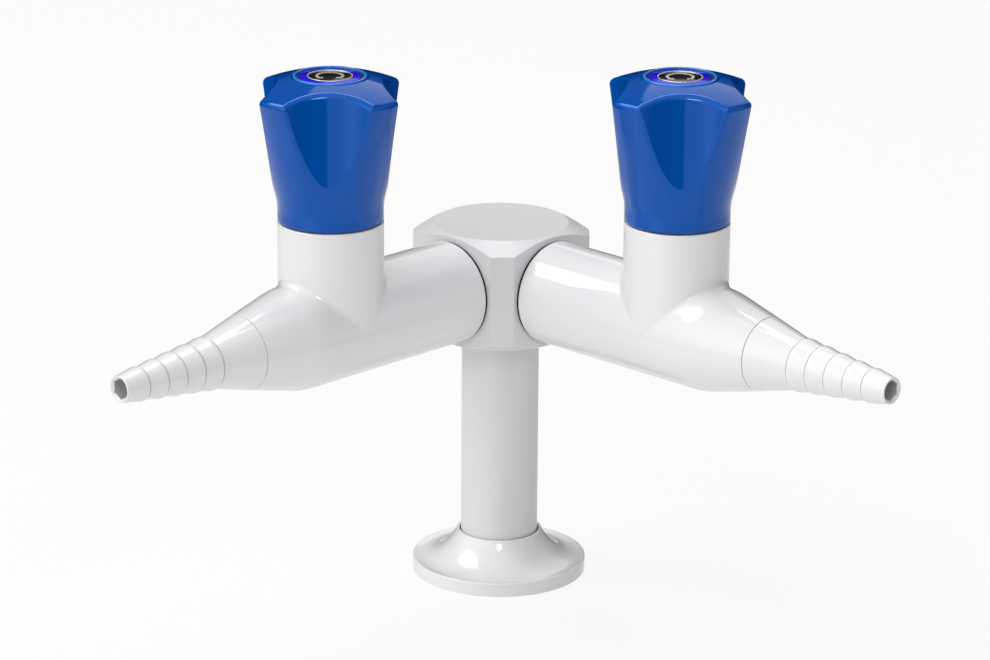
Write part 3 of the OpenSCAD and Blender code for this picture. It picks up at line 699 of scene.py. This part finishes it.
def ray_turns(levels):
    """Angles of the rays that meet the knob at each level, closer together at the flutes' edges."""
    samples, half, crowding, width = 400, 44, 3.5, math.radians(3.5)
    radius, _ = knob_section(levels)
    axis_x = flute_axis(levels)
    cosine = (radius ** 2 + axis_x ** 2 - FLUTE_R ** 2) / (2 * radius * axis_x)
    fine = np.linspace(0, math.pi / 4, samples)
    rows = []
    for edge in np.arccos(np.clip(cosine, -1, 1)):
        weight = 1 + crowding * np.exp(-((fine - edge) / width) ** 2)
        grown = np.concatenate([[0], np.cumsum((weight[1:] + weight[:-1]) / 2)])
        sector = np.interp(np.linspace(0, 1, half + 1), grown / grown[-1], fine)
        quarter = np.concatenate([sector, math.pi / 2 - sector[-2::-1]])
        rows.append(np.concatenate([quarter[:-1] + k * math.pi / 2 for k in range(4)] + [[2 * math.pi]]))
    return np.array(rows)


def level_circle(radius, turns, level):
    """Points on a circle round z."""
    return np.stack([radius * np.cos(turns), radius * np.sin(turns), level + 0 * turns], axis=1)


def knob_shell():
    """Outer surface of the knob, found along rays from its axis, and the angles at its foot and rim."""
    side_rows, top_rows, halvings, step = 66, 118, 36, 0.01
    nearest, farthest = 5.0, 45.0
    rim_r, ray_level = RECESS_R + RECESS_EDGE, SHOULDER - 10
    rim_z, foot_z = dome_level(rim_r), KNOB_BASE + KNOB_FOOT_EDGE
    steepest = math.atan2(rim_z - ray_level, rim_r)
    levels = np.concatenate([np.linspace(foot_z, ray_level, side_rows), np.full(top_rows, ray_level)])
    rise = np.concatenate([np.zeros(side_rows), np.linspace(0, steepest, top_rows + 1)[1:]])
    lobe_z = np.minimum(ray_level + LOBE_R * np.tan(rise), SHOULDER)
    turns = ray_turns(np.where(rise == 0, levels, lobe_z))
    across, up = np.cos(rise)[:, None], np.sin(rise)[:, None]
    way = np.stack([across * np.cos(turns), across * np.sin(turns), up + 0 * turns], axis=2)
    source = np.stack([0 * turns, 0 * turns, levels[:, None] + 0 * turns], axis=2)
    near, far = np.full(turns.shape, nearest), np.full(turns.shape, farthest)
    for _ in range(halvings):
        middle = (near + far) / 2
        inside = knob_distance(source + way * middle[..., None]) < 0
        near, far = np.where(inside, middle, near), np.where(inside, far, middle)
    points = source + way * near[..., None]
    points[0] = level_circle(SKIRT_R, turns[0], foot_z)
    points[-1] = level_circle(rim_r, turns[-1], rim_z)
    normals = np.stack([knob_distance(points + move) - knob_distance(points - move)
                        for move in step * np.eye(3)], axis=2)
    normals /= np.linalg.norm(normals, axis=2, keepdims=True)
    normals[0] = level_circle(1, turns[0], 0)
    return Patch(points, normals), turns[0], turns[-1]


def knob_mesh():
    """Knob with its flutes, soft edges, cap recess, inner post and open underside."""
    shell, foot_turns, rim_turns = knob_shell()
    room_r, room_top, room_edge = 14.8, SHOULDER - 4, 0.2
    post_r, post_edge, insert_r, access_r = 9.5, 0.3, 6.5, 4.1
    recess_edge = 0.2
    post_base, insert_top = (level - OUTLET_H for level in span("knob_insert_left", 2))
    inside = outline([
        (KNOB_BASE + KNOB_FOOT_EDGE, SKIRT_R), (KNOB_BASE, SKIRT_R, KNOB_FOOT_EDGE),
        (KNOB_BASE, room_r, room_edge), (room_top, room_r), (room_top, post_r),
        (post_base, post_r, post_edge), (post_base, insert_r), (insert_top, insert_r),
        (insert_top, access_r), (CAP_FLOOR, access_r)])
    recess = outline([
        (CAP_FLOOR, access_r), (CAP_FLOOR, RECESS_R), (dome_level(RECESS_R), RECESS_R, recess_edge),
        (dome_level(RECESS_R + RECESS_EDGE), RECESS_R + RECESS_EDGE)])
    return mesh_from("knob", [shell] + turned(inside_out(inside), foot_turns)
                     + turned(inside_out(recess), rim_turns))


# Cap

def ring_mesh():
    """Light ring with a rounded top."""
    outer, outer_edge, inner_edge = 12.2, 0.45, 0.3
    return mesh_from("cap_ring", turned(outline([
        (CAP_FLOOR, RING_IN_R), (CAP_FLOOR, outer), (RING_TOP, outer, outer_edge),
        (RING_TOP, RING_IN_R, inner_edge), (CAP_FLOOR, RING_IN_R)])))


def cap_mesh():
    """Snap-in cap with a shallow seat for the bezel and the index plate."""
    stem_r, stem, stem_edge, rim_edge, seat_edge = 4.05, 4.8, 0.3, 0.35, 0.08
    seat_r, seat_floor = BEZEL_R + FIT_GAP, CAP_TOP - CAP_SEAT_DEPTH
    return mesh_from("cap", domed(turned(outline([
        (CAP_FLOOR - stem, 0), (CAP_FLOOR - stem, stem_r, stem_edge), (CAP_FLOOR, stem_r),
        (CAP_FLOOR, CAP_R), (CAP_TOP, CAP_R, rim_edge), (CAP_TOP, seat_r, seat_edge),
        (seat_floor, seat_r), (seat_floor, 0)]))))


def bezel_mesh():
    """Thin silver ring round the index plate, with a round top."""
    edge, top, floor = 0.15, CAP_TOP + BEZEL_RISE, CAP_TOP - CAP_SEAT_DEPTH
    return mesh_from("bezel", turned(outline([
        (floor, BEZEL_IN_R), (floor, BEZEL_R), (top, BEZEL_R, edge), (top, BEZEL_IN_R, edge),
        (floor, BEZEL_IN_R)])))


def plate_mesh():
    """Index plate inside the bezel."""
    rim_r, edge, floor = BEZEL_IN_R - FIT_GAP, 0.1, CAP_TOP - CAP_SEAT_DEPTH
    return mesh_from("index_plate", domed(turned(outline([
        (floor, 0), (floor, rim_r), (CAP_TOP, rim_r, edge), (CAP_TOP, 0)]))))


def cap_shade_ring_mesh():
    """Black ring in the gap round the cap: painted shade that darkens the gap like a shadow line."""
    tuck, depth, thickness = 0.02, 0.2, 0.5
    inner, top = CAP_R - tuck, CAP_TOP - depth
    floor = top - thickness
    return mesh_from("cap_shade_ring", turned(outline([
        (floor, inner), (floor, RING_IN_R), (top, RING_IN_R), (top, inner), (floor, inner)])))


def mark_mesh():
    """Plain turn mark: an arc with an arrowhead at each end, printed on the index plate."""
    arc_r, half_w, head_w, head_turn, half_span = 4.2, 0.5, 1.3, 0.5, math.radians(125)
    steps, depth, height = 48, 0.05, 0.03
    turns = np.linspace(-half_span, half_span, steps + 1)
    ends = half_span + head_turn
    corners = [(arc_r + half_w, t) for t in turns]
    corners += [(arc_r + head_w, half_span), (arc_r, ends), (arc_r - head_w, half_span)]
    corners += [(arc_r - half_w, t) for t in turns[::-1]]
    corners += [(arc_r - head_w, -half_span), (arc_r, -ends), (arc_r + head_w, -half_span)]
    flat = [(-r * math.sin(t), r * math.cos(t)) for r, t in corners]
    count = len(flat)
    points = [(x * MM, y * MM, z * MM) for z in (CAP_TOP - depth, CAP_TOP + height) for x, y in flat]
    faces = [tuple(range(count))[::-1], tuple(range(count, 2 * count))]
    faces += [(k, (k + 1) % count, count + (k + 1) % count, count + k) for k in range(count)]
    mesh = bpy.data.meshes.new("turn_mark")
    mesh.from_pydata(points, [], faces)
    return mesh


# Gasket and liner

def gasket_mesh():
    """Dark gasket that fills the gap between the hub and an arm nearly to the edge."""
    inset = 0.5
    edge_r, hub_face = ARM_R - inset, HUB_AF / 2 - ARM_REACH
    return mesh_from("arm_gasket", turned_bar(outline([
        (hub_face, PORT_R), (hub_face, edge_r), (ARM_FACE, edge_r), (ARM_FACE, PORT_R),
        (hub_face, PORT_R)])))


def liner_mesh():
    """Bare metal wall of the hexagon in a nozzle's mouth."""
    sunk, wall, bore_r = 0.75, 0.05, 2.6
    top, floor = NOZZLE_TIP - sunk, NOZZLE_TIP - MOUTH_DEPTH + FIT_GAP
    patches = []
    for turns, cosine, end_on, square, round_in in hexagon_sides():
        outer, inner = (MOUTH_AF / 2 - FIT_GAP) / cosine, (MOUTH_AF / 2 - FIT_GAP - wall) / cosine
        rings = [(floor, bore_r), (floor, outer), (top, outer), (top, inner), (floor + wall, inner),
                 (floor + wall, bore_r), (floor, bore_r)]
        patches += ring_walls(turns, rings, (-end_on, -square, end_on, square, end_on, round_in))
    return mesh_from("mouth_liner", patches)


# One valve

def make_valve(side, meshes):
    """The visible pieces of one valve."""
    valve, knob, handle = in_valve(side), in_knob(side), f"handle_{side}"
    rows = (
        ("body_skin", "body", valve, "root", "coat_gloss", "valve_body"),
        ("nozzle_skin", "nozzle", valve, "root", "coat_gloss", "nozzle"),
        ("gasket_skin", "gasket", valve, "root", "seal_rubber", "arm_gasket"),
        ("knob_skin", "knob", knob, handle, "knob_blue", "knob"),
        ("cap_ring_skin", "ring", knob, handle, "ring_blue", "cap_ring"),
        ("cap_skin", "cap", knob, handle, "cap_violet", "cap"),
        # The black ring in the cap's gap is painted shade, given the rubber finish
        ("cap_shade_ring", "cap_shade_ring", knob, handle, "seal_rubber"),
        ("bezel_skin", "bezel", knob, handle, "bezel_silver", "bezel"),
        ("plate_skin", "plate", knob, handle, "plate_black", "index_plate"),
        ("turn_mark", "mark", knob, handle, "bezel_silver"),
        ("mouth_liner", "liner", valve, "root", "steel"))
    for name, mesh, place, body, slot, *replaced in rows:
        nodes = [f"{node}_{side}" for node in replaced]
        place_piece(f"{name}_{side}", meshes[mesh], place, body, slot, *nodes)


# Camera, light and floor

def make_camera():
    """Camera as in the photograph: long lens, slightly above, looking down 18 degrees."""
    place = (-0.022, -1.3601, 0.5264)
    yaw, pitch, roll = 0.0148, -0.3127, 0.0069
    focal_px, image_w, sensor_w = 4162.12, 990, 36
    forward = Vector((math.sin(yaw) * math.cos(pitch), math.cos(yaw) * math.cos(pitch), math.sin(pitch)))
    across = Vector((math.cos(yaw), -math.sin(yaw), 0))
    upward = across.cross(forward)
    right = across * math.cos(roll) + upward * math.sin(roll)
    up = upward * math.cos(roll) - across * math.sin(roll)
    data = bpy.data.cameras.new("camera")
    data.sensor_width = sensor_w
    data.lens = focal_px * sensor_w / image_w
    camera = add_object("camera", data)
    camera.matrix_world = Matrix.Translation(place) @ Matrix((right, up, -forward)).transposed().to_4x4()
    bpy.context.scene.camera = camera


# The point that all lamps face
LIT = (0, -0.03, 0.1)


def toward(azimuth, elevation):
    """Direction with azimuth in degrees from the camera's side towards the right, and elevation."""
    a, e = math.radians(azimuth), math.radians(elevation)
    return Vector((math.sin(a) * math.cos(e), -math.cos(a) * math.cos(e), math.sin(e)))


def softbox(name, azimuth, elevation, size, level, shape="RECTANGLE", distance=1.5):
    """Lamp seen from the object in a direction, with a brightness where white paper is 1."""
    data = bpy.data.lights.new(name, "AREA")
    data.shape = shape
    data.size, data.size_y = size
    area = size[0] * size[1] * (math.pi / 4 if shape == "DISK" else 1)
    data.energy = level * math.pi * area
    light = add_object(name, data)
    way = toward(azimuth, elevation)
    light.location = Vector(LIT) + distance * way
    light.rotation_euler = (-way).to_track_quat("-Z", "Y").to_euler()
    light.visible_camera = False


def facing_level(tree, direction, way, start, full, level, easing="LINEAR"):
    """Glow that starts where a direction's share along a way passes one value and is full at another."""
    along = tree.nodes.new("ShaderNodeVectorMath")
    along.operation = "DOT_PRODUCT"
    along.inputs[1].default_value = way
    tree.links.new(direction, along.inputs[0])
    rise = tree.nodes.new("ShaderNodeMapRange")
    rise.interpolation_type = easing
    rise.inputs["From Min"].default_value = start
    rise.inputs["From Max"].default_value = full
    rise.inputs["To Max"].default_value = level
    tree.links.new(along.outputs["Value"], rise.inputs["Value"])
    return rise.outputs["Result"]


def soft_bank(tree, direction, azimuth, elevation, inner, outer, level):
    """Glow of the surroundings, full within one angle from a direction and none past another."""
    return facing_level(tree, direction, toward(azimuth, elevation), math.cos(math.radians(outer)),
                        math.cos(math.radians(inner)), level, "SMOOTHSTEP")


def combine(tree, operation, first, second):
    """Result of a maths step on two values."""
    step = tree.nodes.new("ShaderNodeMath")
    step.operation = operation
    tree.links.new(first, step.inputs[0])
    tree.links.new(second, step.inputs[1])
    return step.outputs[0]


def make_surroundings():
    """Dark studio with soft glowing walls, seen as plain white by the camera."""
    # Azimuth, elevation, angle of full glow and angle of none, all in degrees, and level
    banks = ((-20, 30, 10, 40, 0.72), (0, 55, 5, 35, 0.42), (-75, 25, 10, 40, 0.95),
             (-45, 8, 5, 35, 0.8), (75, 8, 5, 35, 0.34), (75, 35, 15, 50, 0.18),
             (0, 90, 15, 40, 0.65), (180, 45, 10, 40, 0.1))
    low_bank = (-15, -12, 15, 37, 0.68)
    # Way, share along it where the glow starts, share where it is full, and level
    bench = ((0, 0, -1), 0.24, 0.29, 0.86)
    low_limits = ((toward(-89.4, 0), -0.01, 0.01, 1), ((0, 0, 1), -0.28, -0.25, 1),
                  ((0, 0, -1), 0, 0.05, 1))
    world = bpy.data.worlds.new("studio")
    bpy.context.scene.world = world
    world.use_nodes = True
    tree = world.node_tree
    direction = tree.nodes.new("ShaderNodeTexCoord").outputs["Generated"]
    low_sheet = soft_bank(tree, direction, *low_bank)
    for limit in low_limits:
        low_sheet = combine(tree, "MULTIPLY", low_sheet, facing_level(tree, direction, *limit))
    total = combine(tree, "ADD", facing_level(tree, direction, *bench), low_sheet)
    for bank in banks:
        total = combine(tree, "ADD", total, soft_bank(tree, direction, *bank))
    rays = tree.nodes.new("ShaderNodeLightPath")
    level = tree.nodes.new("ShaderNodeMix")
    tree.links.new(rays.outputs["Is Camera Ray"], level.inputs["Factor"])
    tree.links.new(total, level.inputs["A"])
    level.inputs["B"].default_value = 1.0
    back = tree.nodes["Background"]
    back.inputs["Color"].default_value = (1, 1, 1, 1)
    tree.links.new(level.outputs["Result"], back.inputs["Strength"])


def mix_shaders(tree, share, first, second):
    """Blend of two shaders, all second where the share is 1."""
    mix = tree.nodes.new("ShaderNodeMixShader")
    tree.links.new(share, mix.inputs["Fac"])
    tree.links.new(first.outputs[0], mix.inputs[1])
    tree.links.new(second.outputs[0], mix.inputs[2])
    return mix


def make_floor():
    """White floor that keeps a faint shadow and isn't seen in reflections."""
    reach, camera_glow, base_glow = 6, 0.69, 0.16
    mesh = bpy.data.meshes.new("floor")
    mesh.from_pydata([(-reach, -reach, 0), (reach, -reach, 0), (reach, reach, 0), (-reach, reach, 0)],
                     [], [(0, 1, 2, 3)])
    floor = add_object("floor", mesh)
    material, tree, shader = new_material("floor")
    shader.inputs["Base Color"].default_value = (0.82, 0.82, 0.82, 1)
    shader.inputs["Roughness"].default_value = 0.9
    glow = tree.nodes.new("ShaderNodeEmission")
    glow.inputs["Color"].default_value = (1, 1, 1, 1)
    rays = tree.nodes.new("ShaderNodeLightPath")
    share = tree.nodes.new("ShaderNodeMath")
    share.operation = "MULTIPLY_ADD"
    share.inputs[1].default_value = camera_glow
    share.inputs[2].default_value = base_glow
    tree.links.new(rays.outputs["Is Camera Ray"], share.inputs[0])
    lit = mix_shaders(tree, share.outputs[0], shader, glow)
    unseen = tree.nodes.new("ShaderNodeBsdfTransparent")
    surface = mix_shaders(tree, rays.outputs["Is Glossy Ray"], lit, unseen)
    tree.links.new(surface.outputs[0], tree.nodes["Material Output"].inputs["Surface"])
    mesh.materials.append(material)


def make_lamps():
    """The lamps whose outlines show as reflections."""
    softbox("key", -95, 51, size=(0.95, 0.95), level=3.9, shape="DISK")
    softbox("front_spot", 0, 33, size=(0.125, 0.125), level=9, shape="DISK", distance=0.52)
    softbox("overhead", 180, 74, size=(0.6, 0.6), level=3.4)
    softbox("back_panel", 151.5, 41, size=(4.16, 2.4), level=0.9, distance=4)


def dress_inner_nodes():
    """Gives each CAD node the finish of its slot."""
    slots = {row["node"]: row["material_slot"] for row in frame["record"]["subparts"]}
    for name, node in frame["nodes"].items():
        node.data.materials.clear()
        node.data.materials.append(MATERIALS[slots[name]])


make_camera()
dress_inner_nodes()
make_column()
shared = {"body": body_mesh(), "nozzle": nozzle_mesh(), "knob": knob_mesh(), "ring": ring_mesh(),
          "cap": cap_mesh(), "bezel": bezel_mesh(), "plate": plate_mesh(), "cap_shade_ring": cap_shade_ring_mesh(),
          "gasket": gasket_mesh(), "liner": liner_mesh(), "mark": mark_mesh()}
for valve_side in SIDES:
    make_valve(valve_side, shared)
make_surroundings()
make_floor()
make_lamps()
bpy.context.scene.view_settings.view_transform = "Standard"
